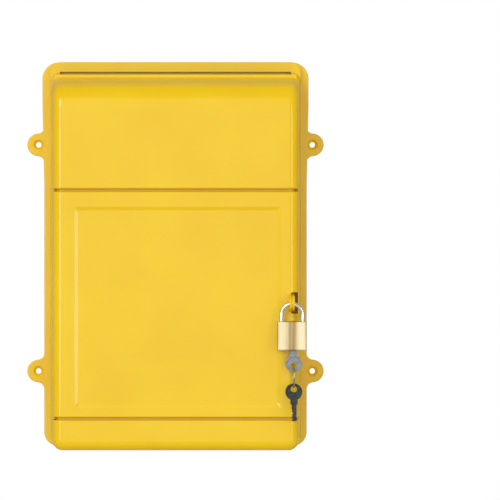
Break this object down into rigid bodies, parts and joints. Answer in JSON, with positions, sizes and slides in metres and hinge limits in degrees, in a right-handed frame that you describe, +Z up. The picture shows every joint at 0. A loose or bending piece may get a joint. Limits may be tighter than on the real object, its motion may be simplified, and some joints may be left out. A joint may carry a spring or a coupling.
{
  "type": "mailbox",
  "caption": "Wall mailbox in yellow plastic: hooded mail slot on top, side-hung front door held by a hasp and a small brass padlock with its keys, and ears for wall screws.",
  "frame": {"origin": "middle of the four wall-fixing holes, on the back plane", "axes": "+X to the viewer's right, +Y into the wall, +Z up"},
  "size_m": [0.262, 0.1023, 0.339],
  "materials": {
    "yellow_plastic": "moulded ABS, satin gloss",
    "zinc_steel": "zinc plated",
    "chromed_steel": "chromed",
    "brushed_brass": "vertical brushed, lacquered",
    "turned_brass": "turned",
    "spring_steel": "drawn wire",
    "nickel_plate": "nickel plated, worn"
  },
  "bodies": {
    "root": {"housing": "yellow_plastic", "back_panel": "yellow_plastic", "back_panel_screws": "zinc_steel", "upper_hinge_pin": "zinc_steel", "lower_hinge_pin": "zinc_steel"},
    "door": {"door": "yellow_plastic"},
    "shackle": {"shackle": "chromed_steel"},
    "lock": {"lock_body": "brushed_brass", "bolt_bore_plug": "brushed_brass", "heel_stop_pin": "zinc_steel", "bolt_spring": "spring_steel", "shackle_spring": "spring_steel", "plug_retaining_pin": "zinc_steel", "driver_pins": "turned_brass", "pin_springs": "spring_steel", "chamber_plugs": "brushed_brass"},
    "bolt": {"locking_bolt": "zinc_steel"},
    "plug": {"key_plug": "turned_brass", "bottom_pins": "turned_brass"},
    "key": {"key": "nickel_plate"},
    "ring": {"split_ring": "nickel_plate"},
    "spare": {"spare_key": "nickel_plate"}
  },
  "joints": [
    {"name": "door_swing", "type": "hinge", "parent": "root", "child": "door", "pos_m": [-0.10384, -0.065, -0.0401], "axis": [0, 0, -1], "range_deg": [0, 110]},
    {"name": "padlock_swing", "type": "hinge", "parent": "door", "child": "shackle", "pos_m": [0.10015, -0.09, -0.0396], "axis": [-1, 0, 0], "range_deg": [0, 60]},
    {"name": "lock_drop", "type": "slide", "parent": "shackle", "child": "lock", "axis": [0, 0, -1], "range_m": [0, 0.0083], "deforming": ["shackle_spring"]},
    {"name": "key_turn", "type": "hinge", "parent": "lock", "child": "plug", "pos_m": [0.10165, -0.09, -0.0796], "axis": [0, 0, -1], "range_deg": [0, 90]},
    {"name": "bolt_draw", "type": "slide", "parent": "lock", "child": "bolt", "axis": [-1, 0, 0], "range_m": [0, 0.002], "deforming": ["bolt_spring"]},
    {"name": "key_withdraw", "type": "slide", "parent": "plug", "child": "key", "axis": [0, 0, -1], "range_m": [0, 0.016]},
    {"name": "ring_swing", "type": "hinge", "parent": "key", "child": "ring", "pos_m": [0.10165, -0.093, -0.09435], "axis": [0, -1, 0], "range_deg": [0, 25]},
    {"name": "spare_key_swing", "type": "hinge", "parent": "ring", "child": "spare", "pos_m": [0.10165, -0.093, -0.11101], "axis": [0, -1, 0], "range_deg": [0, 25]}
  ],
  "couplings": [
    {"joint": "key_turn", "follows": "lock_drop", "rad_per_m": 189.25},
    {"joint": "bolt_draw", "follows": "lock_drop", "ratio": 0.24096}
  ]
}
